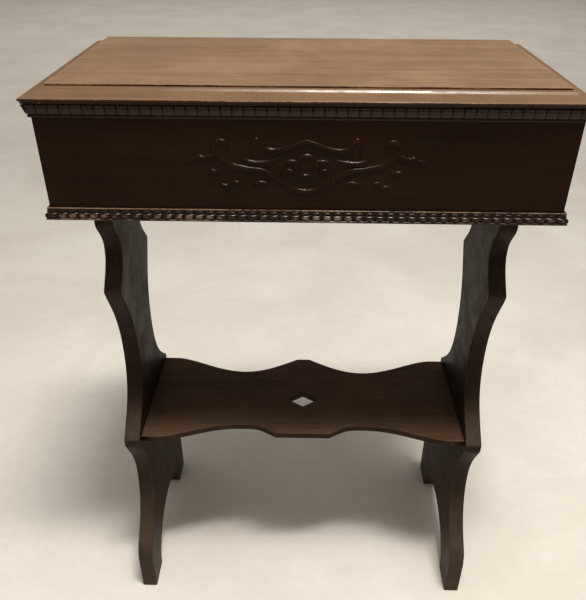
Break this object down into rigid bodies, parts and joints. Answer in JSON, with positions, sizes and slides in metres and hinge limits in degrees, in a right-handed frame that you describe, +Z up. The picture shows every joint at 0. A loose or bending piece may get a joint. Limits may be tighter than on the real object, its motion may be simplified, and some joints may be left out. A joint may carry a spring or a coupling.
{
  "type": "lift-top sewing table",
  "caption": "Small lift-top sewing table: a shallow box with a hinged moulded lid and a sliding tray, on two scalloped end boards joined by a scalloped shelf.",
  "frame": {"origin": "middle of the table's footprint, on the floor", "axes": "+Z up, front faces -Y, width along X"},
  "size_m": [0.51, 0.2759, 0.6974],
  "materials": {
    "lid_wood": "satin lacquer, mid brown, worn",
    "case_wood": "dark stained and lacquered",
    "bead_wood": "dark stained, beads rubbed lighter",
    "stand_wood": "dark stained satin, edges worn brown",
    "inner_wood": "unfinished, aged",
    "tray_wood": "thin clear finish, aged",
    "brass": "dulled",
    "steel": "dull, slightly rusted"
  },
  "bodies": {
    "stand": {"box_front": "case_wood", "box_back": "case_wood", "box_left_side": "case_wood", "box_right_side": "case_wood", "box_bottom": "inner_wood", "block_front_left": "inner_wood", "block_front_right": "inner_wood", "block_back_left": "inner_wood", "block_back_right": "inner_wood", "upper_front_moulding": "bead_wood", "upper_left_moulding": "bead_wood", "upper_right_moulding": "bead_wood", "lower_front_moulding": "bead_wood", "lower_left_moulding": "bead_wood", "lower_right_moulding": "bead_wood", "left_end_board": "stand_wood", "right_end_board": "stand_wood", "shelf": "stand_wood", "shelf_dowels": "inner_wood", "left_cleat": "inner_wood", "right_cleat": "inner_wood", "cleat_screws": "steel", "left_hinge_box_leaf": "brass", "left_hinge_pin": "steel", "right_hinge_box_leaf": "brass", "right_hinge_pin": "steel", "hinge_box_screws": "brass", "front_runner": "inner_wood", "back_runner": "inner_wood"},
    "lid": {"lid_panel": "lid_wood", "lid_front_moulding": "lid_wood", "lid_left_moulding": "lid_wood", "lid_right_moulding": "lid_wood", "left_hinge_lid_leaf": "brass", "right_hinge_lid_leaf": "brass", "hinge_lid_screws": "brass"},
    "tray": {"tray_front": "tray_wood", "tray_back": "tray_wood", "tray_left_end": "tray_wood", "tray_right_end": "tray_wood", "tray_bottom": "tray_wood", "tray_long_divider": "tray_wood", "tray_cross_divider": "tray_wood", "spool_pegs": "tray_wood"}
  },
  "joints": [
    {"name": "lid_hinge", "type": "hinge", "parent": "stand", "child": "lid", "pos_m": [0, 0.13515, 0.6872], "axis": [-1, 0, 0], "range_deg": [0, 95]},
    {"name": "tray_slide", "type": "slide", "parent": "stand", "child": "tray", "axis": [1, 0, 0], "range_m": [0, 0.239]}
  ]
}
